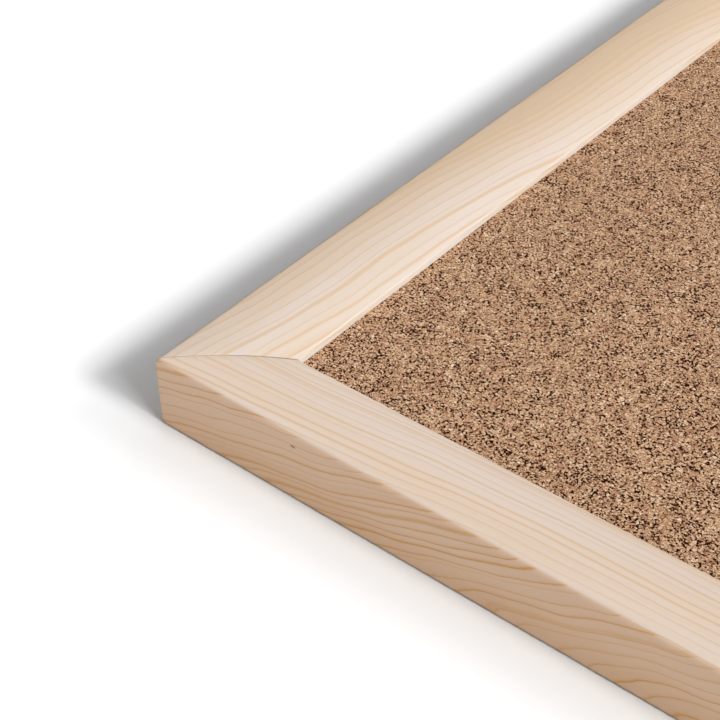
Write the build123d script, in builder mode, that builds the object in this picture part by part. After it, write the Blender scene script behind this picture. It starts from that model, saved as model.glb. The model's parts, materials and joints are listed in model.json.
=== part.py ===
"""A pine-framed cork bulletin board, lying on its back.

X runs along the long side, Y towards the edge that hangs uppermost, and Z out of the pinning face.
The origin is the centre of the back's resting plane, and all sizes are millimetres.
"""

from build123d import *
import math
import os

# The whole board.
board_length = 600.0
board_width = 400.0
frame_depth = 17.0

# The rail's section: a level outer edge, a crowned face that falls inwards, and a rebate behind a thin lip.
rail_width = 20.0
outer_round = 1.3
crown_start = 2.0  # from the outer face to where the level edge starts to fall
crown_radius = 52.0
lip_round = 0.7
rebate_wall = 14.5  # from the outer face to the rebate's wall
pin_face = 12.1  # height of the cork's face, which the lips hold down

# The panel, from the face to the back.
cork_thickness = 2.5
core_thickness = 4.5
hardboard_thickness = 2.5
panel_gap = 0.5
panel_back = pin_face - cork_thickness - core_thickness - hardboard_thickness

# V-nails across each mitre.
nail_height = 7.0
nail_sunk = 0.2
nail_wing = 4.5
nail_sheet = 0.4
nail_insets = (4.2, 9.2)

# Framer's points, which hold the panel from behind.
point_length = 15.0
point_width = 6.0
point_sheet = 0.5
point_in_wood = 7.0
point_tip = 4.0
point_pitch_long = 190.0
point_pitch_short = 130.0

# D-ring hangers, in pockets routed into the side rails' backs.
hanger_inset = 8.6  # from the outer face to the hanger's centre line
hanger_height = 118.0  # the ring's hinge line, above the board's middle
pocket_depth = 3.4
pocket_start = 2.6  # from the outer face to the pocket's near wall
pocket_above = 11.2
pocket_below = 18.8
pocket_corner = 2.5
strap_sheet = 0.6
strap_width = 6.0
strap_eye_radius = 4.2
strap_neck_round = 1.5
screw_drop = 13.5  # from the hinge line down to the screw
wire_radius = 0.8
wire_clearance = 0.08
curl_angle = 285.0
ring_half_width = 4.7  # to the wire's centre line
ring_arch_centre = 4.5
ring_bend = 1.5
screw_hole_radius = 1.6
screw_shank_radius = 1.4
screw_length = 10.0
screw_point = 2.5
screw_head_radius = 2.6
screw_head_height = 1.5
screw_head_round = 0.6
recess_length = 3.0
recess_width = 0.6
recess_depth = 0.9

curl_inner = wire_radius + wire_clearance
curl_outer = curl_inner + strap_sheet
hinge_z = pocket_depth - curl_outer
strap_face = pocket_depth - strap_sheet

half_length = board_length / 2
half_width = board_width / 2

# Each side starts at one corner and runs anticlockwise to the next, so that the board lies to its left.
sides = {
    "bottom": ((-half_length, -half_width), (1, 0, 0), board_length, point_pitch_long, 3),
    "right": ((half_length, -half_width), (0, 1, 0), board_width, point_pitch_short, 2),
    "top": ((half_length, half_width), (-1, 0, 0), board_length, point_pitch_long, 3),
    "left": ((-half_length, half_width), (0, -1, 0), board_width, point_pitch_short, 2),
}
corners = {
    "bottom_left": ((-half_length, -half_width), (1, 0, 0)),
    "bottom_right": ((half_length, -half_width), (0, 1, 0)),
    "top_right": ((half_length, half_width), (-1, 0, 0)),
    "top_left": ((-half_length, half_width), (0, -1, 0)),
}
hanger_x = {
    "left": -half_length + hanger_inset,
    "right": half_length - hanger_inset,
}

os.makedirs("parts", exist_ok=True)
written = []


def write(block, name):
    """Label a finished piece and write it."""
    block.part.label = name
    export_step(block.part, f"parts/{name}.step")
    written.append(name)


def plan(start, along, height=0.0):
    """A level plane at a corner: its x runs along a side, and its y into the board."""
    return Plane(origin=(start[0], start[1], height), x_dir=along, z_dir=(0, 0, 1))


def section_plane(start, along):
    """An upright plane across a side's start: its x runs into the board, and its y upwards."""
    inward = (-along[1], along[0], 0)
    return Plane(origin=(start[0], start[1], 0), x_dir=inward, z_dir=along)


# Two V-nails at each corner, with the V's point on the mitre.
v_nails = {}
for corner, (start, along) in corners.items():
    with BuildPart() as nails:
        with BuildSketch(plan(start, along, nail_sunk)):
            for inset in nail_insets:
                with BuildLine():
                    Polyline(
                        (inset, inset),
                        (inset + nail_wing, inset),
                        (inset + nail_wing, inset + nail_sheet),
                        (inset + nail_sheet, inset + nail_sheet),
                        (inset + nail_sheet, inset + nail_wing),
                        (inset, inset + nail_wing),
                        close=True,
                    )
                make_face()
        extrude(amount=nail_height)
    v_nails[corner] = nails.part
    write(nails, f"v_nails_{corner}")

# The framer's points of each side, flat against the hardboard and driven into the rebate's wall.
panel_points = {}
for side, (start, along, length, pitch, count) in sides.items():
    tip = rebate_wall - point_in_wood
    places = [(length / 2 + pitch * (i - (count - 1) / 2), tip) for i in range(count)]
    with BuildPart() as points:
        with BuildSketch(plan(start, along, panel_back - point_sheet)):
            with Locations(places):
                Polygon(
                    (0, 0),
                    (point_width / 2, point_tip),
                    (point_width / 2, point_length),
                    (-point_width / 2, point_length),
                    (-point_width / 2, point_tip),
                    align=None,
                )
        extrude(amount=point_sheet)
    panel_points[side] = points.part
    write(points, f"points_{side}")

# The hangers' screws: a pan head on the strap, with a cross recess, and a plain pointed shank in the rail.
screws = {}
for side, x in hanger_x.items():
    screw_y = hanger_height - screw_drop
    with BuildPart() as screw:
        with BuildSketch(Plane(origin=(x, screw_y, strap_face), x_dir=(1, 0, 0), z_dir=(0, -1, 0))):
            with BuildLine():
                Polyline(
                    (0, -screw_head_height),
                    (screw_head_radius, -screw_head_height),
                    (screw_head_radius, 0),
                    (screw_shank_radius, 0),
                    (screw_shank_radius, screw_length - screw_point),
                    (0, screw_length),
                    close=True,
                )
            make_face()
        revolve(axis=Axis((x, screw_y, 0), (0, 0, 1)))
        fillet(screw.edges().filter_by(GeomType.CIRCLE).sort_by(Axis.Z)[0], screw_head_round)
        with BuildSketch(Plane.XY.offset(strap_face - screw_head_height)):
            with Locations((x, screw_y)):
                Rectangle(recess_length, recess_width)
                Rectangle(recess_width, recess_length)
        extrude(amount=recess_depth, taper=8, mode=Mode.SUBTRACT)
    screws[side] = screw.part
    write(screw, f"hanger_screw_{side}")

# The four rails. The profile runs the whole side, and both ends are mitred through the corners.
crown_sweep = math.degrees(math.asin((rail_width - crown_start) / crown_radius))
side_corners = {
    "bottom": ("bottom_left", "bottom_right"),
    "right": ("bottom_right", "top_right"),
    "top": ("top_right", "top_left"),
    "left": ("top_left", "bottom_left"),
}
for side, (start, along, length, pitch, count) in sides.items():
    with BuildPart() as rail:
        with BuildSketch(section_plane(start, along)) as profile:
            with BuildLine():
                Line((0, 0), (0, frame_depth - outer_round))
                CenterArc((outer_round, frame_depth - outer_round), outer_round, 180, -90)
                Line((outer_round, frame_depth), (crown_start, frame_depth))
                crown = CenterArc((crown_start, frame_depth - crown_radius), crown_radius, 90, -crown_sweep)
                Polyline(crown @ 1, (rail_width, pin_face), (rebate_wall, pin_face), (rebate_wall, 0), (0, 0))
            make_face()
            fillet(profile.vertices().group_by(Axis.X)[-1].sort_by(Axis.Y)[-1], lip_round)
        extrude(amount=length)
        with BuildSketch(plan(start, along)):
            Polygon(
                (0, 0),
                (length, 0),
                (length - rail_width, rail_width),
                (rail_width, rail_width),
                align=None,
            )
        extrude(amount=frame_depth, mode=Mode.INTERSECT)

        # The slots that the V-nails and the framer's points make as they are driven in.
        for corner in side_corners[side]:
            add(v_nails[corner], mode=Mode.SUBTRACT)
        add(panel_points[side], mode=Mode.SUBTRACT)

        # The pocket behind each hanger is open to the rebate, and its corners are the cutter's.
        if side in hanger_x:
            inward = -math.copysign(1, hanger_x[side])
            pocket_width = rebate_wall - pocket_start + 2 * pocket_corner
            pocket_x = start[0] + inward * (pocket_start + pocket_width / 2)
            pocket_y = hanger_height + (pocket_above - pocket_below) / 2
            with BuildSketch() as pocket:
                with Locations((pocket_x, pocket_y)):
                    Rectangle(pocket_width, pocket_above + pocket_below)
                fillet(pocket.vertices(), pocket_corner)
            extrude(amount=pocket_depth, mode=Mode.SUBTRACT)
            add(screws[side], mode=Mode.SUBTRACT)
    write(rail, f"{side}_rail")

# The panel's three layers, each a little smaller than the rebate.
panel_length = board_length - 2 * (rebate_wall + panel_gap)
panel_width = board_width - 2 * (rebate_wall + panel_gap)
layers = {
    "cork_sheet": (pin_face - cork_thickness, cork_thickness),
    "fibreboard_core": (pin_face - cork_thickness - core_thickness, core_thickness),
    "hardboard_back": (panel_back, hardboard_thickness),
}
for name, (low, thickness) in layers.items():
    with BuildPart() as layer:
        with BuildSketch(Plane.XY.offset(low)):
            Rectangle(panel_length, panel_width)
        extrude(amount=thickness)
    write(layer, name)

# The straps: a flat sheet with an eye for the screw, whose end curls round the ring's straight wire.
for side, x in hanger_x.items():
    with BuildPart() as strap:
        with BuildSketch(Plane.XY.offset(strap_face)) as outline:
            with Locations((x, hanger_height - screw_drop / 2)):
                Rectangle(strap_width, screw_drop)
            with Locations((x, hanger_height - screw_drop)):
                Circle(strap_eye_radius)
            neck = outline.vertices().filter_by_position(
                Axis.Y, hanger_height - screw_drop, hanger_height - strap_width / 2
            )
            fillet(neck, strap_neck_round)
            with Locations((x, hanger_height - screw_drop)):
                Circle(screw_hole_radius, mode=Mode.SUBTRACT)
        extrude(amount=strap_sheet)
        hinge_section = Plane(
            origin=(x - strap_width / 2, hanger_height, hinge_z), x_dir=(0, 1, 0), z_dir=(1, 0, 0)
        )
        with BuildSketch(hinge_section):
            with BuildLine():
                outer = CenterArc((0, 0), curl_outer, 90, -curl_angle)
                inner = CenterArc((0, 0), curl_inner, 90, -curl_angle)
                Line(outer @ 0, inner @ 0)
                Line(outer @ 1, inner @ 1)
            make_face()
        extrude(amount=strap_width)
    write(strap, f"hanger_strap_{side}")

# The D-rings: a straight wire through the curl, two bends, two legs and a half-round arch.
for side, x in hanger_x.items():
    with BuildPart() as ring:
        with BuildLine(Plane((x, hanger_height, hinge_z))) as wire:
            bar = Line((-ring_half_width + ring_bend, 0), (ring_half_width - ring_bend, 0))
            bend_right = CenterArc((ring_half_width - ring_bend, ring_bend), ring_bend, -90, 90)
            leg_right = Line(bend_right @ 1, (ring_half_width, ring_arch_centre))
            arch = CenterArc((0, ring_arch_centre), ring_half_width, 0, 180)
            leg_left = Line(arch @ 1, (-ring_half_width, ring_bend))
            bend_left = CenterArc((-ring_half_width + ring_bend, ring_bend), ring_bend, 180, 90)
        with BuildSketch(Plane(origin=(x, hanger_height, hinge_z), x_dir=(0, 1, 0), z_dir=(1, 0, 0))):
            Circle(wire_radius)
        sweep(path=wire.wire())
    write(ring, f"hanger_ring_{side}")

print(len(written), "pieces:", ", ".join(written))
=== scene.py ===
"""Looks for a pine-framed cork bulletin board: swept rails, a cork face in relief, fibre panels and zinc fittings."""

import json
import math

import bmesh
import bpy
import numpy as np
from mathutils import Matrix, Vector, noise


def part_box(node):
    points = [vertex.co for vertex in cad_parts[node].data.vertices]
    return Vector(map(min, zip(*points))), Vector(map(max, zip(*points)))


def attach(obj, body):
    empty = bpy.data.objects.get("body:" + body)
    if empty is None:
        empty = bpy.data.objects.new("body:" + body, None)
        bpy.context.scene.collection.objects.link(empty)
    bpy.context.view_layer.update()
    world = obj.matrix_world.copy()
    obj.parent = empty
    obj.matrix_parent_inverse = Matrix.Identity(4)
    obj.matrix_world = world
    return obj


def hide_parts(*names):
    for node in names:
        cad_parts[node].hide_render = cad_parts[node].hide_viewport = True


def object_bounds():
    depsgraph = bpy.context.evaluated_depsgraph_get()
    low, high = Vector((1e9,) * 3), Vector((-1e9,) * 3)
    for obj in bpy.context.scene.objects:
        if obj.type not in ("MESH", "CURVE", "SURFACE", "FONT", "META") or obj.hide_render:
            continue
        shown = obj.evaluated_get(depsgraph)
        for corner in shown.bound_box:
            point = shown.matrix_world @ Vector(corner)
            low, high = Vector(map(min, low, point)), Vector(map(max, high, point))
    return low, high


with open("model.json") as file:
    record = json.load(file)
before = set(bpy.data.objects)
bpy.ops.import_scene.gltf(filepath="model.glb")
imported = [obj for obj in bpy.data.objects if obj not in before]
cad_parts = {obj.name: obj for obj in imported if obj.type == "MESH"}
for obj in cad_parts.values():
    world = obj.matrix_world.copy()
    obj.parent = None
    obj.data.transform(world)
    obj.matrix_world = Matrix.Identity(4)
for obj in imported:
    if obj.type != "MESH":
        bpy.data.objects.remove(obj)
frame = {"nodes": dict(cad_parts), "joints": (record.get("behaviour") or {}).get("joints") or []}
cad_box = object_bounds()

MM = 0.001
BOARD_LOW, BOARD_HIGH = cad_box
LENGTH = BOARD_HIGH.x - BOARD_LOW.x
WIDTH = BOARD_HIGH.y - BOARD_LOW.y
DEPTH = BOARD_HIGH.z - BOARD_LOW.z
RAIL_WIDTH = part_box("bottom_rail")[1].y - BOARD_LOW.y
PIN_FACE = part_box("cork_sheet")[1].z
CORNER = Vector((BOARD_LOW.x, BOARD_LOW.y, 0))

# The rail's section, as in the CAD model.
OUTER_ROUND = 1.3 * MM
CROWN_START = 2.0 * MM
CROWN_RADIUS = 52.0 * MM
LIP_ROUND = 0.4 * MM
REBATE_WALL = 14.5 * MM
BACK_EASE = 0.5 * MM

# The slots and pockets in the rails' backs.
NAIL_INSETS = (4.2 * MM, 9.2 * MM)
NAIL_WING = 4.5 * MM
NAIL_SHEET = 0.4 * MM
POCKET_START = 2.6 * MM
POCKET_ABOVE = 11.2 * MM
POCKET_BELOW = 18.8 * MM
POCKET_DEPTH = 3.4 * MM
POCKET_CORNER = 2.5 * MM


# ---------------------------------------------------------------- camera, lights and floor

# Where the camera stands from the board's near corner, and its turn round, its look down and its roll, in degrees.
CAMERA_FROM_CORNER = Vector((0.1836, -0.1590, 0.2144))
CAMERA_TURN = (39.51, 39.67, -0.78)
CAMERA_LENS = 78.8
CAMERA_SENSOR = 36

# Each light's name, azimuth, elevation, strength and apparent size. The angles are in degrees.
LIGHTS = (
    ("key", 1, 33.5, 2.69, 13),
    ("softbox", -12, 33.6, 1.32, 17),
    ("far_softbox", 32, 33, 1.04, 24),
    ("front", -105, 12, 0.99, 42),
    ("back", 83, 57, 0.80, 60),
)
SKY = (0.93, 0.95, 1.0)
SKY_STRENGTH = 0.10
FLOOR_REACH = 4.0  # metres each way
FLOOR_TONE = (0.86, 0.86, 0.86)
DOME_RADIUS = 12.0


def add_camera():
    """The camera looks down at one corner of the board, from its front right."""
    azimuth, elevation, roll = (math.radians(angle) for angle in CAMERA_TURN)
    forward = Vector(
        (-math.sin(azimuth) * math.cos(elevation), math.cos(azimuth) * math.cos(elevation), -math.sin(elevation))
    )
    right = forward.cross(Vector((0, 0, 1))).normalized()
    up = right.cross(forward)
    tilted_right = math.cos(roll) * right + math.sin(roll) * up
    tilted_up = math.cos(roll) * up - math.sin(roll) * right
    data = bpy.data.cameras.new("camera")
    data.sensor_width = CAMERA_SENSOR
    data.lens = CAMERA_LENS
    data.clip_start = 0.01
    camera = bpy.data.objects.new("camera", data)
    bpy.context.collection.objects.link(camera)
    turn = Matrix((tilted_right, tilted_up, -forward)).transposed().to_4x4()
    camera.matrix_world = Matrix.Translation(CORNER + CAMERA_FROM_CORNER) @ turn
    bpy.context.scene.camera = camera


def add_sun(name, azimuth, elevation, strength, spread):
    """A soft, even light from far away, so many degrees round from +X and up from the floor."""
    around, up = math.radians(azimuth), math.radians(elevation)
    towards = Vector((math.cos(around) * math.cos(up), math.sin(around) * math.cos(up), math.sin(up)))
    data = bpy.data.lights.new(name, "SUN")
    data.energy = strength
    data.angle = math.radians(spread)
    sun = bpy.data.objects.new(name, data)
    bpy.context.collection.objects.link(sun)
    sun.rotation_mode = "QUATERNION"
    sun.rotation_quaternion = towards.to_track_quat("Z", "Y")


def add_studio():
    """A key from the right between two softboxes, and weaker soft lights from the front and the back."""
    for light in LIGHTS:
        add_sun(*light)
    world = bpy.data.worlds.new("studio")
    bpy.context.scene.world = world
    world.use_nodes = True
    background = world.node_tree.nodes["Background"]
    background.inputs["Color"].default_value = (*SKY, 1)
    background.inputs["Strength"].default_value = SKY_STRENGTH
    bpy.context.scene.view_settings.view_transform = "Standard"


def add_floor():
    """A pale sheet of paper under the board."""
    bm = bmesh.new()
    corners = [(-1, -1), (1, -1), (1, 1), (-1, 1)]
    bm.faces.new([bm.verts.new((x * FLOOR_REACH, y * FLOOR_REACH, BOARD_LOW.z)) for x, y in corners])
    floor = finished(bm, "floor")
    paper = Shader("floor_paper")
    paper.set("Base Color", (*FLOOR_TONE, 1))
    paper.set("Roughness", 0.9)
    paper.set("Specular IOR Level", 0.1)
    floor.data.materials.append(paper.material)


def add_backdrop():
    """A white dome past the floor's edge. It is only looked at: it lights nothing and shades nothing."""
    bm = bmesh.new()
    bmesh.ops.create_uvsphere(bm, u_segments=48, v_segments=24, radius=DOME_RADIUS)
    dome = finished(bm, "backdrop")
    white = Shader("backdrop_white")
    white.set("Base Color", (0, 0, 0, 1))
    white.set("Emission Color", (1, 1, 1, 1))
    white.set("Emission Strength", 1.0)
    dome.data.materials.append(white.material)
    dome.visible_diffuse = dome.visible_glossy = dome.visible_transmission = dome.visible_shadow = False


# ---------------------------------------------------------------- material nodes


class Shader:
    """A material whose node tree is built by short calls. Each value is a socket or a number."""

    def __init__(self, name):
        self.material = bpy.data.materials.new(name)
        self.material.use_nodes = True
        self.nodes = self.material.node_tree.nodes
        self.links = self.material.node_tree.links
        self.surface = self.nodes["Principled BSDF"]

    def put(self, socket, value):
        """Links a socket, sets a number or a colour, or leaves the default where there is no value."""
        if isinstance(value, bpy.types.NodeSocket):
            self.links.new(value, socket)
        elif value is not None:
            socket.default_value = value

    def set(self, name, value):
        """Gives the surface one of its values."""
        self.put(self.surface.inputs[name], value)

    def math(self, operation, a, b=None, c=None):
        node = self.nodes.new("ShaderNodeMath")
        node.operation = operation
        for socket, value in zip(node.inputs, (a, b, c)):
            self.put(socket, value)
        return node.outputs[0]

    def add(self, a, b):
        return self.math("ADD", a, b)

    def sub(self, a, b):
        return self.math("SUBTRACT", a, b)

    def mul(self, a, b):
        return self.math("MULTIPLY", a, b)

    def step(self, value, low, high):
        """Rises smoothly from 0 at low to 1 at high."""
        node = self.nodes.new("ShaderNodeMapRange")
        node.interpolation_type = "SMOOTHSTEP"
        for name, item in (("Value", value), ("From Min", low), ("From Max", high)):
            self.put(node.inputs[name], item)
        return node.outputs["Result"]

    def place(self):
        """Where a point is on the object, in millimetres."""
        node = self.nodes.new("ShaderNodeTexCoord")
        return self.scaled(node.outputs["Object"], (1 / MM,) * 3)

    def scaled(self, vector, factors):
        node = self.nodes.new("ShaderNodeVectorMath")
        node.operation = "MULTIPLY"
        self.put(node.inputs[0], vector)
        node.inputs[1].default_value = factors
        return node.outputs[0]

    def length(self, vector):
        node = self.nodes.new("ShaderNodeVectorMath")
        node.operation = "LENGTH"
        self.put(node.inputs[0], vector)
        return node.outputs["Value"]

    def moved(self, vector, offset):
        node = self.nodes.new("ShaderNodeVectorMath")
        node.operation = "ADD"
        self.put(node.inputs[0], vector)
        self.put(node.inputs[1], offset)
        return node.outputs[0]

    def split(self, vector):
        node = self.nodes.new("ShaderNodeSeparateXYZ")
        self.put(node.inputs[0], vector)
        return node.outputs[0], node.outputs[1], node.outputs[2]

    def join(self, x, y, z):
        node = self.nodes.new("ShaderNodeCombineXYZ")
        for socket, value in zip(node.inputs, (x, y, z)):
            self.put(socket, value)
        return node.outputs[0]

    def noise(self, place, scale=1.0, detail=2.0, roughness=0.5, dimensions="3D"):
        """Noise from about 0 to 1, at a vector, or at a number where it has one dimension."""
        node = self.nodes.new("ShaderNodeTexNoise")
        node.noise_dimensions = dimensions
        self.put(node.inputs["W" if dimensions == "1D" else "Vector"], place)
        for name, item in (("Scale", scale), ("Detail", detail), ("Roughness", roughness)):
            node.inputs[name].default_value = item
        return node.outputs["Fac"]

    def wander(self, vector, detail=1.0):
        """Noise from about -1 to 1."""
        return self.math("MULTIPLY_ADD", self.noise(vector, 1.0, detail), 2, -1)

    def swirl(self, vector, scale):
        """A noise vector around zero, for bending another texture's place."""
        node = self.nodes.new("ShaderNodeTexNoise")
        self.put(node.inputs["Vector"], vector)
        node.inputs["Scale"].default_value = scale
        node.inputs["Detail"].default_value = 1.0
        return self.moved(node.outputs["Color"], (-0.5, -0.5, -0.5))

    def random(self, w):
        """A steady random number for each value of w."""
        node = self.nodes.new("ShaderNodeTexWhiteNoise")
        node.noise_dimensions = "1D"
        self.put(node.inputs["W"], w)
        return node.outputs["Value"]

    def voronoi(self, vector, scale, feature="F1"):
        """Cells around scattered points, as a node with several outputs."""
        node = self.nodes.new("ShaderNodeTexVoronoi")
        node.feature = feature
        self.put(node.inputs["Vector"], vector)
        node.inputs["Scale"].default_value = scale
        return node

    def ramp(self, value, stops):
        """Stops are (position, colour), where a colour is a number or three."""
        node = self.nodes.new("ShaderNodeValToRGB")
        while len(node.color_ramp.elements) < len(stops):
            node.color_ramp.elements.new(1.0)
        for element, (position, colour) in zip(node.color_ramp.elements, stops):
            element.position = position
            element.color = (*((colour,) * 3 if isinstance(colour, (int, float)) else colour), 1)
        self.put(node.inputs["Fac"], value)
        return node.outputs["Color"]

    def mix(self, factor, a, b, blend="MIX"):
        """Blends two colours."""
        node = self.nodes.new("ShaderNodeMix")
        node.data_type = "RGBA"
        node.blend_type = blend
        self.put(node.inputs["Factor"], factor)
        for name, item in (("A", a), ("B", b)):
            socket = next(s for s in node.inputs if s.name == name and s.type == "RGBA")
            self.put(socket, (*item, 1) if isinstance(item, tuple) and len(item) == 3 else item)
        return next(s for s in node.outputs if s.type == "RGBA")

    def bump(self, height, distance, strength=1.0, normal=None):
        """Height from 0 to 1 stands distance metres proud."""
        node = self.nodes.new("ShaderNodeBump")
        node.inputs["Distance"].default_value = distance
        node.inputs["Strength"].default_value = strength
        self.put(node.inputs["Height"], height)
        self.put(node.inputs["Normal"], normal)
        return node.outputs["Normal"]


# ---------------------------------------------------------------- pine

FACE_PALE = (0.632, 0.530, 0.466)
FACE_WARM = (0.622, 0.503, 0.408)
FACE_LINE = (0.575, 0.390, 0.228)
HEARTWOOD = (0.600, 0.425, 0.275)
SIDE_PALE = (0.580, 0.402, 0.278)
SIDE_WARM = (0.562, 0.362, 0.222)
SIDE_LINE = (0.480, 0.232, 0.045)
FIBRE_TONE = (0.42, 0.27, 0.16)
BARK_TONE = (0.20, 0.075, 0.025)
# The painted shade along the foot's outer edge.
GLUE_TONE = (0.20, 0.14, 0.10)
FOOT_SHADE_TONE = (0.11, 0.070, 0.045)
# A cooler tint on the lip's wall, painted light against the cork's reddish bounce light.
LIP_PAINTED_LIGHT_TINT = (0.965, 1.01, 1.04)

# How fast each noise of the wood changes along the grain, across it and upwards, for each millimetre.
SLOW_WARP = (0.020, 0.06, 0.06)
MIDDLE_WARP = (0.055, 0.13, 0.13)
TREMBLE = (1.1, 0.7, 0.7)
WARMTH = (0.012, 0.11, 0.11)
FIBRES = (0.10, 5.0, 5.0)

# How dark one growth ring is, from its pale early wood to its late wood's line.
RING_STOPS = [
    (0.00, 0.25), (0.07, 0.10), (0.18, 0.0), (0.48, 0.02), (0.68, 0.14),
    (0.80, 0.34), (0.86, 0.72), (0.90, 1.0), (0.95, 0.92), (1.0, 0.25),
]
CURL_REACH = 2.6  # how far up from the back the side's lines curl, in millimetres
GRAIN_RELIEF = 0.020 * MM

# For each rail: the corner its grain is measured from, the way it runs, and the way into the board.
# On its face the rings are lines about pitch millimetres apart, drifting into the board by slope, with
# a sway of so many millimetres, its length and its lag. On its side there are side_rings lines from top to bottom,
# side_drift more a millimetre along, and curl says how steeply they leave the back, from so far along the rail.
# fleck is where a speck of bark shows on the side, as millimetres along and up. heart is how warm the face grows
# towards the outer edge. The last value multiplies the whole piece's colour: on the left rail it is painted shade,
# and on the others a small difference of tone.
RAILS = {
    "bottom_rail": dict(
        start=(-1, -1), run=(1, 0), inward=(0, 1), pitch=1.95, slope=0.070, sway=(0.5, 120, 0.3), seed=3.1,
        side_rings=8.4, side_drift=0.150, side_sway=(-1.3, 110, -1.7), curl=(0.92, 40, 68),
        fleck=(35.9, 13.9), heart=0.10, tone_and_painted_shade=(1.0, 1.0, 1.0),
    ),
    "left_rail": dict(
        start=(-1, -1), run=(0, 1), inward=(1, 0), pitch=2.20, slope=0.085, sway=(1.0, 92, 2.4), seed=11.7,
        side_rings=5.5, side_drift=0.090, side_sway=(-1.2, 130, 0.5), curl=(0.6, 20, 60),
        # The left rail's last value darkens it as painted shade.
        fleck=(152, 5.5), heart=0.75, tone_and_painted_shade=(0.88, 0.90, 0.91),
    ),
    "right_rail": dict(
        start=(1, -1), run=(0, 1), inward=(-1, 0), pitch=2.50, slope=-0.060, sway=(1.1, 96, 0.9), seed=23.4,
        side_rings=6.0, side_drift=0.100, side_sway=(-1.5, 120, 2.0), curl=(0.8, 80, 130),
        fleck=(271, 9.0), heart=0.30, tone_and_painted_shade=(0.97, 0.96, 0.95),
    ),
    "top_rail": dict(
        start=(-1, 1), run=(1, 0), inward=(0, -1), pitch=2.30, slope=-0.050, sway=(0.9, 110, 3.5), seed=37.9,
        side_rings=5.0, side_drift=0.085, side_sway=(-1.4, 140, 4.0), curl=(0.7, 30, 90),
        fleck=(418, 11.0), heart=0.20, tone_and_painted_shade=(0.98, 0.98, 0.97),
    ),
}


def ring_lines(sh, phase, seed):
    """How dark the wood is at a phase that rises by one a growth ring, with rings of uneven spacing and depth."""
    uneven = sh.noise(sh.add(phase, seed * 7.3), 0.9, 1.0, 0.5, "1D")
    phase = sh.add(phase, sh.mul(uneven, 1.1))
    ring = sh.math("FLOOR", phase)
    depth = sh.math("MULTIPLY_ADD", sh.random(sh.add(ring, seed)), 0.55, 0.45)
    return sh.mul(sh.ramp(sh.sub(phase, ring), RING_STOPS), depth)


def sine(sh, along, size, length, lag):
    """A wave along the rail, in millimetres, with its lag in radians."""
    return sh.mul(sh.math("SINE", sh.math("MULTIPLY_ADD", along, 2 * math.pi / length, lag)), size)


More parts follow.
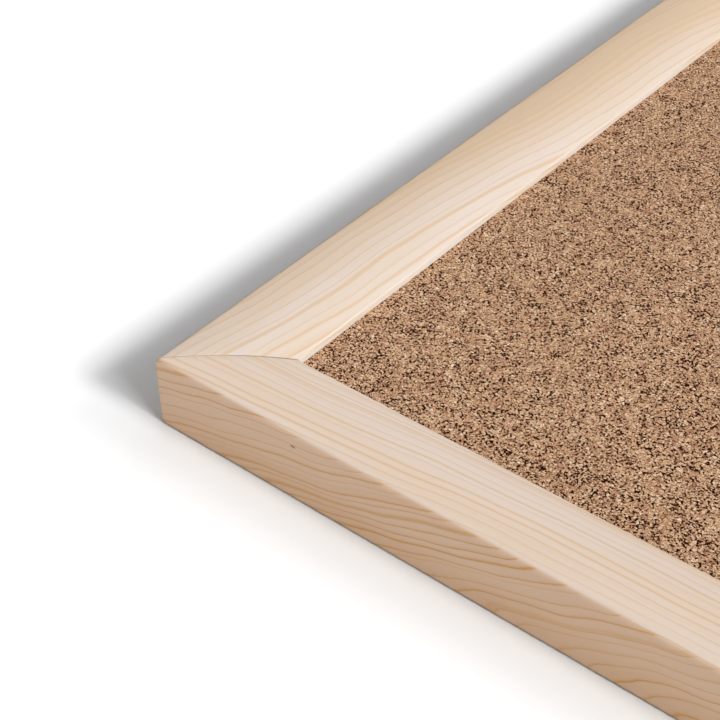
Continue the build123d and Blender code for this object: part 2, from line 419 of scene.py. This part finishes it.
def pine(
    name, start, run, inward, pitch, slope, sway, seed, side_rings, side_drift, side_sway, curl, fleck, heart, tone_and_painted_shade
):
    """One rail's wood, with straight lines on its face and flames on its side. RAILS says what each value is."""
    sh = Shader(f"pine_{name}")
    thick = DEPTH / MM
    wide = RAIL_WIDTH / MM
    x, y, z = sh.split(sh.place())
    along = sh.add(x, LENGTH / 2 / MM) if run[0] else sh.add(y, WIDTH / 2 / MM)
    if inward[0]:
        across = sh.mul(sh.add(x, -start[0] * LENGTH / 2 / MM), inward[0])
    else:
        across = sh.mul(sh.add(y, -start[1] * WIDTH / 2 / MM), inward[1])

    # Slow warps, the same all through the wood, and a fine tremble of the lines.
    wood = sh.join(along, across, z)
    slow = sh.wander(sh.moved(sh.scaled(wood, SLOW_WARP), (seed, seed * 2, 0)))
    middle = sh.wander(sh.moved(sh.scaled(wood, MIDDLE_WARP), (0, seed, seed * 3)))
    tremble = sh.wander(sh.scaled(wood, TREMBLE), 2.0)

    # The face: rings cut nearly edge on, so that the lines run almost straight.
    face = sh.add(sh.sub(across, sh.mul(along, slope)), sine(sh, along, *sway))
    face = sh.add(face, sh.math("MULTIPLY_ADD", slow, 1.3, sh.mul(middle, 0.6)))
    on_lip = sh.step(across, wide - 0.35, wide - 0.05)
    face = sh.add(face, sh.mul(on_lip, sh.sub(thick, z)))
    face_lines = ring_lines(sh, sh.math("MULTIPLY_ADD", tremble, 0.05, sh.mul(face, 1 / pitch)), seed)

    # The side: rings cut nearly flat, so that the lines climb to the face, further along in long S-shaped curves.
    most, curl_from, curl_full = curl
    turn = sh.mul(sh.step(along, curl_from, curl_full), most)
    from_back = sh.sub(1, sh.math("EXPONENT", sh.mul(z, -1 / CURL_REACH)))
    height = sh.sub(z, sh.mul(sh.mul(turn, from_back), CURL_REACH))
    curled = sh.math("MULTIPLY_ADD", height, -1 / thick, 1)
    side = sh.add(sh.mul(along, side_drift), sh.mul(curled, side_rings))
    side = sh.add(side, sh.mul(sine(sh, along, *side_sway), sh.sub(1, curled)))
    fine_warp = sh.math("MULTIPLY_ADD", middle, 0.7, sh.mul(tremble, 0.06))
    side = sh.add(side, sh.math("MULTIPLY_ADD", slow, 0.8, fine_warp))
    side_lines = sh.math("POWER", ring_lines(sh, side, seed + 50), 1.15)

    # Colours: pale wood between the rings and golden lines. The side is cut closer to the heart, and is warmer.
    warmth = sh.noise(sh.moved(sh.scaled(wood, WARMTH), (seed, 0, seed)), 1.0, 2.0)
    warmth = sh.step(warmth, 0.35, 0.68)
    fibres = sh.noise(sh.moved(sh.scaled(wood, FIBRES), (seed, 0, 0)), 1.0, 3.0, 0.65)
    fibre_tone = sh.mul(sh.step(fibres, 0.42, 0.75), 0.10)
    face_pale = sh.mix(warmth, FACE_PALE, FACE_WARM)
    towards_heart = sh.math("MULTIPLY_ADD", sh.step(face, -8, 9), -heart, heart)
    face_pale = sh.mix(towards_heart, face_pale, HEARTWOOD)
    face_tone = sh.mix(face_lines, face_pale, FACE_LINE)
    # Painted shade: the side grows warmer and darker over its lowest 9 mm, towards the floor; the rest of the change
    # is random warmth.
    low = sh.sub(1, sh.step(z, 0.0, 9.0))
    side_pale = sh.mix(sh.math("MULTIPLY_ADD", low, 0.6, sh.mul(warmth, 0.4)), SIDE_PALE, SIDE_WARM)
    side_tone = sh.mix(side_lines, side_pale, SIDE_LINE)
    on_face = sh.step(across, 0.15, 0.75)
    colour = sh.mix(on_face, side_tone, face_tone)
    colour = sh.mix(fibre_tone, colour, FIBRE_TONE)

    # A speck of bark, the glue at the mitres, painted shade at the foot's outer edge, and painted light on the lip's
    # wall.
    fleck_along, fleck_up = fleck
    fleck_inward = sh.sub(0, sh.mul(across, 2))
    away = sh.join(sh.mul(sh.sub(along, fleck_along), 0.40), sh.sub(z, fleck_up), fleck_inward)
    bark = sh.sub(1, sh.step(sh.length(away), 0.12, 0.36))
    colour = sh.mix(sh.mul(bark, 0.90), colour, BARK_TONE)
    length = (LENGTH if run[0] else WIDTH) / MM
    nearer = sh.math("MINIMUM", along, sh.sub(length, along))
    glue = sh.sub(1, sh.step(sh.math("ABSOLUTE", sh.sub(nearer, across)), 0.05, 0.20))
    colour = sh.mix(sh.mul(glue, 0.62), colour, GLUE_TONE)
    # Painted shade: the outer side goes dark brown along its lowest 0.8 mm, where the board meets the floor.
    foot_shade = sh.mul(sh.sub(1, sh.step(z, 0.10, 0.80)), sh.sub(1, sh.step(across, 0.3, 1.0)))
    colour = sh.mix(sh.mul(foot_shade, 0.80), colour, FOOT_SHADE_TONE)
    # Painted light: the lip's wall is tinted cooler, to cancel the cork's reddish bounce light on it.
    colour = sh.mix(on_lip, colour, sh.mix(1.0, colour, LIP_PAINTED_LIGHT_TINT, "MULTIPLY"))
    # Painted shade on the left rail; on the other rails a small difference of tone.
    colour = sh.mix(1.0, colour, tone_and_painted_shade, "MULTIPLY")

    sh.set("Base Color", colour)
    sh.set("Roughness", sh.math("MULTIPLY_ADD", fibres, 0.16, 0.46))
    sh.set("Specular IOR Level", 0.3)
    lines = sh.add(sh.mul(side_lines, sh.sub(1, on_face)), sh.mul(face_lines, on_face))
    ridges = sh.bump(lines, GRAIN_RELIEF)
    sh.set("Normal", sh.bump(fibres, GRAIN_RELIEF, 0.6, ridges))
    return sh.material


# ---------------------------------------------------------------- rails

# The sections next to a mitre, as the distance from it and how far the section shrinks there.
MITRE_EASE = [(0.06 * MM, 0.40 * MM), (0.10 * MM, 0.12 * MM), (0.18 * MM, 0.03 * MM), (0.5 * MM, 0.0)]
SECTION_PITCH = 5 * MM
WEAR = 0.018 * MM
SHARP_ANGLE = math.radians(32)
CUT_BELOW = 1 * MM  # how far under the board a cutter starts


def arc(centre, radius, first, last, count):
    """Points on an arc, from one angle to another in degrees."""
    angles = [math.radians(first + (last - first) * i / count) for i in range(count + 1)]
    return [(centre[0] + radius * math.cos(a), centre[1] + radius * math.sin(a)) for a in angles]


def rail_profile():
    """The rail's section as (inward, height), clockwise from the back's outer edge."""
    points = arc((BACK_EASE, BACK_EASE), BACK_EASE, 270, 180, 4)
    outer_foot, outer_head = BACK_EASE, DEPTH - OUTER_ROUND
    points += [(0, outer_foot + (outer_head - outer_foot) * i / 8) for i in range(1, 8)]
    points += arc((OUTER_ROUND, outer_head), OUTER_ROUND, 180, 90, 12)
    # The lip's small round touches the crown from inside, so its centre is that much nearer the crown's.
    lip_x = RAIL_WIDTH - LIP_ROUND
    lip_turn = math.degrees(math.acos((lip_x - CROWN_START) / (CROWN_RADIUS - LIP_ROUND)))
    lip_z = DEPTH - CROWN_RADIUS + (CROWN_RADIUS - LIP_ROUND) * math.sin(math.radians(lip_turn))
    points += arc((CROWN_START, DEPTH - CROWN_RADIUS), CROWN_RADIUS, 90, lip_turn, 18)
    points += arc((lip_x, lip_z), LIP_ROUND, lip_turn, 0, 6)[1:]
    points += [(RAIL_WIDTH, PIN_FACE), (REBATE_WALL, PIN_FACE), (REBATE_WALL, BACK_EASE)]
    points += arc((REBATE_WALL - BACK_EASE, BACK_EASE), BACK_EASE, 0, -90, 4)[1:]
    return points


def rail_mesh(name, start, run, inward):
    """Sweeps the section along a side. Both ends are mitred, with eased edges that show as a hairline."""
    length = LENGTH if run[0] else WIDTH
    origin = Vector((start[0] * LENGTH / 2, start[1] * WIDTH / 2, 0))
    run, inward = Vector((*run, 0)), Vector((*inward, 0))
    profile = rail_profile()
    count = len(profile)
    middle = Vector((sum(p[0] for p in profile) / count, sum(p[1] for p in profile) / count))
    steps = round(length / SECTION_PITCH)
    sections = [(inset, sink, 0.0) for inset, sink in MITRE_EASE]
    sections += [(MITRE_EASE[-1][0], 0.0, (i + 0.5) / steps) for i in range(steps)]
    sections += [(inset, sink, 1.0) for inset, sink in reversed(MITRE_EASE)]
    bm = bmesh.new()
    rings = []
    for inset, sink, share in sections:
        ring = []
        for deep, high in profile:
            first, last = deep + inset, length - deep - inset
            place = first + (last - first) * share
            towards = (middle - Vector((deep, high))).normalized()
            rub = noise.noise(Vector((place * 28, deep * 90, high * 90)) + origin * 50)
            wear = sink - WEAR * math.sin(math.pi * share) * rub
            point = origin + run * place + inward * (deep + towards.x * wear)
            point.z = high + towards.y * wear if high > BACK_EASE else high
            ring.append(bm.verts.new(point))
        rings.append(ring)
    for near, far in zip(rings, rings[1:]):
        for i in range(count):
            j = (i + 1) % count
            bm.faces.new((near[i], near[j], far[j], far[i]))
    bm.faces.new(rings[0])
    bm.faces.new(rings[-1])
    bmesh.ops.recalc_face_normals(bm, faces=bm.faces)
    return finished(bm, f"{name}_wood")


def sharpen(bm):
    """Shades smoothly, but for edges over the sharp angle."""
    for face in bm.faces:
        face.smooth = True
    for edge in bm.edges:
        edge.smooth = not (edge.is_manifold and edge.calc_face_angle(0) > SHARP_ANGLE)


def finished(bm, name):
    """Makes an object of a bmesh."""
    sharpen(bm)
    mesh = bpy.data.meshes.new(name)
    bm.to_mesh(mesh)
    bm.free()
    piece = bpy.data.objects.new(name, mesh)
    bpy.context.collection.objects.link(piece)
    return piece


def slab_mesh(outline, low, high):
    """A closed upright prism on a plan outline, for cutting with."""
    bm = bmesh.new()
    foot = [bm.verts.new((x, y, low)) for x, y in outline]
    head = [bm.verts.new((x, y, high)) for x, y in outline]
    bm.faces.new(foot)
    bm.faces.new(head)
    for i, j in zip(range(len(outline)), list(range(1, len(outline))) + [0]):
        bm.faces.new((foot[i], foot[j], head[j], head[i]))
    bmesh.ops.recalc_face_normals(bm, faces=bm.faces)
    return finished(bm, "cutter")


def cut(rail, cutters):
    """Cuts the prisms out of a rail, and takes them away."""
    for cutter in cutters:
        slot = rail.modifiers.new("slot", "BOOLEAN")
        slot.operation = "DIFFERENCE"
        slot.solver = "MANIFOLD"
        slot.object = cutter
    whole = bpy.data.meshes.new_from_object(rail.evaluated_get(bpy.context.evaluated_depsgraph_get()))
    rail.modifiers.clear()
    bm = bmesh.new()
    bm.from_mesh(whole)
    sharpen(bm)
    bm.to_mesh(whole)
    bm.free()
    whole.materials.clear()
    rail.data = whole
    for cutter in cutters:
        bpy.data.objects.remove(cutter, do_unlink=True)


def nail_slots(rail_name):
    """The V-nails' slots at a rail's ends: each nail is cut out as it is, from the rail's back up to its top."""
    cutters = []
    for name in sorted(frame["nodes"]):
        if not name.startswith("v_nails") or rail_name.removesuffix("_rail") not in name:
            continue
        right, top = "right" in name, "top" in name
        corner_x = BOARD_HIGH.x if right else BOARD_LOW.x
        corner_y = BOARD_HIGH.y if top else BOARD_LOW.y
        turn_x, turn_y = (-1 if right else 1), (-1 if top else 1)
        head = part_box(name)[1].z
        for inset in NAIL_INSETS:
            a, b, c = inset, inset + NAIL_SHEET, inset + NAIL_WING
            outline = [(a, a), (c, a), (c, b), (b, b), (b, c), (a, c)]
            outline = [(corner_x + turn_x * x, corner_y + turn_y * y) for x, y in outline]
            cutters.append(slab_mesh(outline, BOARD_LOW.z - CUT_BELOW, head))
    return cutters


def hanger_pocket(rail_name):
    """The pocket routed behind a hanger, open to the rebate."""
    side = rail_name.removesuffix("_rail")
    if side not in ("left", "right"):
        return []
    sign = -1 if side == "left" else 1
    hinge = next(joint["pos_m"][1] for joint in frame["joints"] if joint["name"] == f"ring_{side}_swing")
    near, far = LENGTH / 2 - POCKET_START, LENGTH / 2 - REBATE_WALL - POCKET_CORNER
    bottom, top = hinge - POCKET_BELOW, hinge + POCKET_ABOVE
    middle_x, middle_y = (near + far) / 2, (bottom + top) / 2
    half_x, half_y = abs(near - far) / 2 - POCKET_CORNER, (top - bottom) / 2 - POCKET_CORNER
    outline = []
    for turn_x, turn_y, first in ((1, 1, 0), (-1, 1, 90), (-1, -1, 180), (1, -1, 270)):
        centre = (middle_x + turn_x * half_x, middle_y + turn_y * half_y)
        outline += arc(centre, POCKET_CORNER, first, first + 90, 8)
    return [slab_mesh([(sign * x, y) for x, y in outline], BOARD_LOW.z - CUT_BELOW, POCKET_DEPTH)]


def add_rails():
    """The four rails, with the slots and pockets in their backs."""
    for name, look in RAILS.items():
        rail = rail_mesh(name, look["start"], look["run"], look["inward"])
        cut(rail, nail_slots(name) + hanger_pocket(name))
        rail.data.materials.append(pine(name, **look))
        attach(rail, "board")
        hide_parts(name)


# ---------------------------------------------------------------- cork

GRANULE = 0.80  # a granule's usual width, in millimetres
CRUMB = 0.42  # and of the bits it shows
RELIEF_PITCH = 1.05 * MM
RELIEF_GRANULE = GRANULE * 1.25
RELIEF_JITTER = 0.5  # as a share of the pitch
CORK_SEED = 20

CORK_TONES = [
    (0.0, (0.300, 0.128, 0.060)),
    (0.25, (0.475, 0.266, 0.138)),
    (0.50, (0.570, 0.356, 0.200)),
    (0.75, (0.645, 0.434, 0.256)),
    (1.0, (0.840, 0.690, 0.500)),
]
REDDISH = (0.360, 0.165, 0.105)
CREAM = (0.760, 0.620, 0.450)
DARK_MEAL = (0.200, 0.072, 0.038)
SEAM_TONE = (0.235, 0.078, 0.038)
# The cracks' tone is partly painted shade, and the pits' near black is painted shade.
CRACK_TONE_AND_SHADE = (0.180, 0.050, 0.020)
PIT_SHADE = (0.014, 0.003, 0.001)


def cork_material():
    """Tan granules with cream and reddish ones among them, and dark cracks that widen into pits. The pits' black is
    painted shade, and the cracks' dark red-brown is partly the cork's own colour and partly painted shade.
    """
    sh = Shader("cork")
    flat = sh.scaled(sh.place(), (1, 1, 0.7))
    bent = sh.moved(flat, sh.scaled(sh.swirl(flat, 1.2), (0.8, 0.8, 0.8)))
    bent = sh.moved(bent, sh.scaled(sh.swirl(flat, 3.2), (0.35, 0.35, 0.35)))
    cells = sh.voronoi(bent, 1 / GRANULE)
    edge = sh.voronoi(bent, 1 / GRANULE, "DISTANCE_TO_EDGE").outputs["Distance"]
    pick, level, kind = sh.split(cells.outputs["Color"])
    crumbs = sh.split(sh.voronoi(sh.moved(bent, (13, 5, 3)), 1 / CRUMB).outputs["Color"])[0]
    tone = sh.ramp(sh.math("MULTIPLY_ADD", crumbs, 0.5, sh.mul(pick, 0.5)), CORK_TONES)
    reddish = sh.mul(sh.math("GREATER_THAN", kind, 0.85), 0.5)
    tone = sh.mix(reddish, tone, REDDISH)
    mealy = sh.noise(flat, 3.1, 3.0, 0.7)
    tone = sh.mix(sh.mul(sh.step(mealy, 0.53, 0.63), 0.75), tone, CREAM)
    tone = sh.mix(sh.mul(sh.step(mealy, 0.48, 0.40), 0.85), tone, DARK_MEAL)

    # The gaps: how wide they are drifts from place to place, and the widest ones are pits.
    drifts = sh.math("MULTIPLY_ADD", sh.noise(sh.moved(flat, (3, 41, 0)), 0.22, 2.0), 0.45, -1.265)
    width = sh.math("MULTIPLY_ADD", sh.noise(sh.moved(flat, (31, 7, 0)), 2.1, 1.0), 1.90, drifts)
    room = sh.sub(edge, width)
    crack = sh.sub(1, sh.step(room, 0.04, 0.19))
    pit = sh.sub(1, sh.step(room, -0.03, 0.03))
    seam = sh.sub(1, sh.step(edge, 0.02, 0.14))
    tone = sh.mix(sh.mul(seam, 0.52), tone, SEAM_TONE)
    # Painted shade: the cracks darken and the pits go near black, as the shade in the gaps; the cracks' red-brown is
    # partly the cork's own colour.
    tone = sh.mix(sh.mul(crack, 0.85), tone, CRACK_TONE_AND_SHADE)
    tone = sh.mix(sh.mul(pit, 0.97), tone, PIT_SHADE)
    sh.set("Base Color", tone)
    sh.set("Roughness", 0.9)
    sh.set("Specular IOR Level", 0.06)
    gaps = sh.add(sh.mul(crack, 0.4), pit)
    height = sh.math("MULTIPLY_ADD", mealy, 0.5, sh.sub(sh.mul(level, 0.4), gaps))
    sh.set("Normal", sh.bump(height, 0.30 * MM))
    return sh.material


def granule_heights(x, y, rng):
    """How far each point lies below the face, in metres, for granules on a jittered grid."""
    pitch = RELIEF_GRANULE
    half_length, half_width = LENGTH / 2 / MM, WIDTH / 2 / MM
    columns, rows = int(LENGTH / MM / pitch) + 4, int(WIDTH / MM / pitch) + 4
    seed_x = (np.arange(columns)[:, None] + rng.random((columns, rows))) * pitch - half_length - pitch
    seed_y = (np.arange(rows)[None, :] + rng.random((columns, rows))) * pitch - half_width - pitch
    seed_top = rng.random((columns, rows))
    px, py = x / MM, y / MM
    ix = ((px + half_length) / pitch + 1).astype(int)
    iy = ((py + half_width) / pitch + 1).astype(int)
    nearest = np.full(px.shape, 1e9)
    second = np.full(px.shape, 1e9)
    top = np.zeros(px.shape)
    for dx in (-1, 0, 1):
        for dy in (-1, 0, 1):
            cx, cy = np.clip(ix + dx, 0, columns - 1), np.clip(iy + dy, 0, rows - 1)
            far = np.hypot(px - seed_x[cx, cy], py - seed_y[cx, cy])
            closer = far < nearest
            second = np.where(closer, nearest, np.minimum(second, far))
            top = np.where(closer, seed_top[cx, cy], top)
            nearest = np.where(closer, far, nearest)
    gap = np.clip(1 - (second - nearest) / 0.5, 0, 1)
    return (0.02 + 0.10 * top + 0.10 * gap) * MM


def add_cork():
    """The cork sheet: a closed slab whose face is a fine grid in relief."""
    low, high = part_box("cork_sheet")
    nx = round((high.x - low.x) / RELIEF_PITCH)
    ny = round((high.y - low.y) / RELIEF_PITCH)
    lines_x, lines_y = np.linspace(low.x, high.x, nx + 1), np.linspace(low.y, high.y, ny + 1)
    grid_x, grid_y = np.meshgrid(lines_x, lines_y, indexing="ij")
    rng = np.random.default_rng(CORK_SEED)
    inner = np.zeros(grid_x.shape, bool)
    inner[1:-1, 1:-1] = True
    jitter = RELIEF_PITCH * RELIEF_JITTER
    grid_x = grid_x + np.where(inner, (rng.random(grid_x.shape) - 0.5) * jitter, 0)
    grid_y = grid_y + np.where(inner, (rng.random(grid_x.shape) - 0.5) * jitter, 0)
    grid_z = high.z - granule_heights(grid_x, grid_y, rng)
    top = np.stack([grid_x, grid_y, grid_z], -1).reshape(-1, 3)
    index = np.arange(top.shape[0]).reshape(nx + 1, ny + 1)
    quads = np.stack([index[:-1, :-1], index[1:, :-1], index[1:, 1:], index[:-1, 1:]], -1).reshape(-1, 4)
    rim = np.concatenate([index[:, 0], index[-1, 1:], index[-2::-1, -1], index[0, -2:0:-1]])
    foot = top[rim].copy()
    foot[:, 2] = low.z
    foot_index = top.shape[0] + np.arange(len(rim))
    after = np.roll(np.arange(len(rim)), -1)
    walls = np.stack([rim[after], rim, foot_index, foot_index[after]], -1)
    points = np.concatenate([top, foot])
    faces = [tuple(q) for q in quads.tolist()] + [tuple(q) for q in walls.tolist()]
    faces.append(tuple(reversed(foot_index.tolist())))
    mesh = bpy.data.meshes.new("cork_face")
    mesh.from_pydata(points.tolist(), [], faces)
    smooth = np.zeros(len(faces), bool)
    smooth[: len(quads)] = True
    mesh.polygons.foreach_set("use_smooth", smooth)
    mesh.update()
    cork = bpy.data.objects.new("cork_face", mesh)
    bpy.context.collection.objects.link(cork)
    mesh.materials.append(cork_material())
    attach(cork, "board")
    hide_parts("cork_sheet")


# ---------------------------------------------------------------- the panel's back and the fittings

SCREEN_PITCH = 1.3  # of the hardboard's rough back, in millimetres


def dress(names, material):
    """Gives carried-over CAD nodes a material."""
    for name in names:
        node = frame["nodes"][name]
        node.data.materials.clear()
        node.data.materials.append(material)


def hardboard_material():
    """Brown hardboard, with the fine screen pattern of its rough back."""
    sh = Shader("hardboard")
    place = sh.place()
    x, y, _ = sh.split(place)
    weave = 2 * math.pi / SCREEN_PITCH
    crossing = sh.mul(sh.math("SINE", sh.mul(x, weave)), sh.math("SINE", sh.mul(y, weave)))
    screen = sh.math("MULTIPLY_ADD", crossing, 0.5, 0.5)
    blotch = sh.noise(place, 0.06, 3.0, 0.6)
    fibres = sh.noise(sh.scaled(place, (1.0, 1.0, 3.0)), 1.8, 4.0, 0.7)
    tone = sh.mix(sh.step(blotch, 0.35, 0.65), (0.190, 0.098, 0.048), (0.235, 0.128, 0.066))
    tone = sh.mix(sh.mul(sh.step(fibres, 0.50, 0.70), 0.5), tone, (0.330, 0.200, 0.115))
    tone = sh.mix(sh.mul(sh.sub(1, screen), 0.35), tone, (0.115, 0.056, 0.028))
    sh.set("Base Color", tone)
    sh.set("Roughness", 0.72)
    sh.set("Specular IOR Level", 0.3)
    sh.set("Normal", sh.bump(sh.math("MULTIPLY_ADD", fibres, 0.6, screen), 0.06 * MM))
    return sh.material


def fibreboard_material():
    """Pale, felted softboard."""
    sh = Shader("fibreboard")
    place = sh.scaled(sh.place(), (1, 1, 3))
    fibres = sh.noise(place, 1.4, 4.0, 0.7)
    tone = sh.mix(sh.step(fibres, 0.35, 0.65), (0.330, 0.235, 0.150), (0.470, 0.360, 0.250))
    sh.set("Base Color", tone)
    sh.set("Roughness", 0.9)
    sh.set("Specular IOR Level", 0.15)
    sh.set("Normal", sh.bump(fibres, 0.10 * MM))
    return sh.material


def zinc_material():
    """Bright zinc plate: faintly mottled, and duller where it has been handled."""
    sh = Shader("zinc_steel")
    place = sh.place()
    mottle = sh.noise(place, 0.9, 3.0, 0.6)
    handled = sh.noise(place, 0.25, 2.0, 0.5)
    sh.set("Base Color", sh.mix(sh.step(mottle, 0.35, 0.65), (0.560, 0.570, 0.580), (0.680, 0.685, 0.680)))
    sh.set("Metallic", 1.0)
    sh.set("Roughness", sh.math("MULTIPLY_ADD", handled, 0.25, 0.22))
    sh.set("Normal", sh.bump(sh.noise(place, 3.0, 2.0, 0.5), 0.01 * MM))
    return sh.material


def dress_hidden():
    """Materials for the nodes that keep their CAD shapes."""
    dress(["hardboard_back"], hardboard_material())
    dress(["fibreboard_core"], fibreboard_material())
    metal = [name for name in frame["nodes"] if name.startswith(("v_nails", "points", "hanger"))]
    dress(sorted(metal), zinc_material())


# ---------------------------------------------------------------- making


add_camera()
add_studio()
add_floor()
add_backdrop()
add_rails()
add_cork()
dress_hidden()
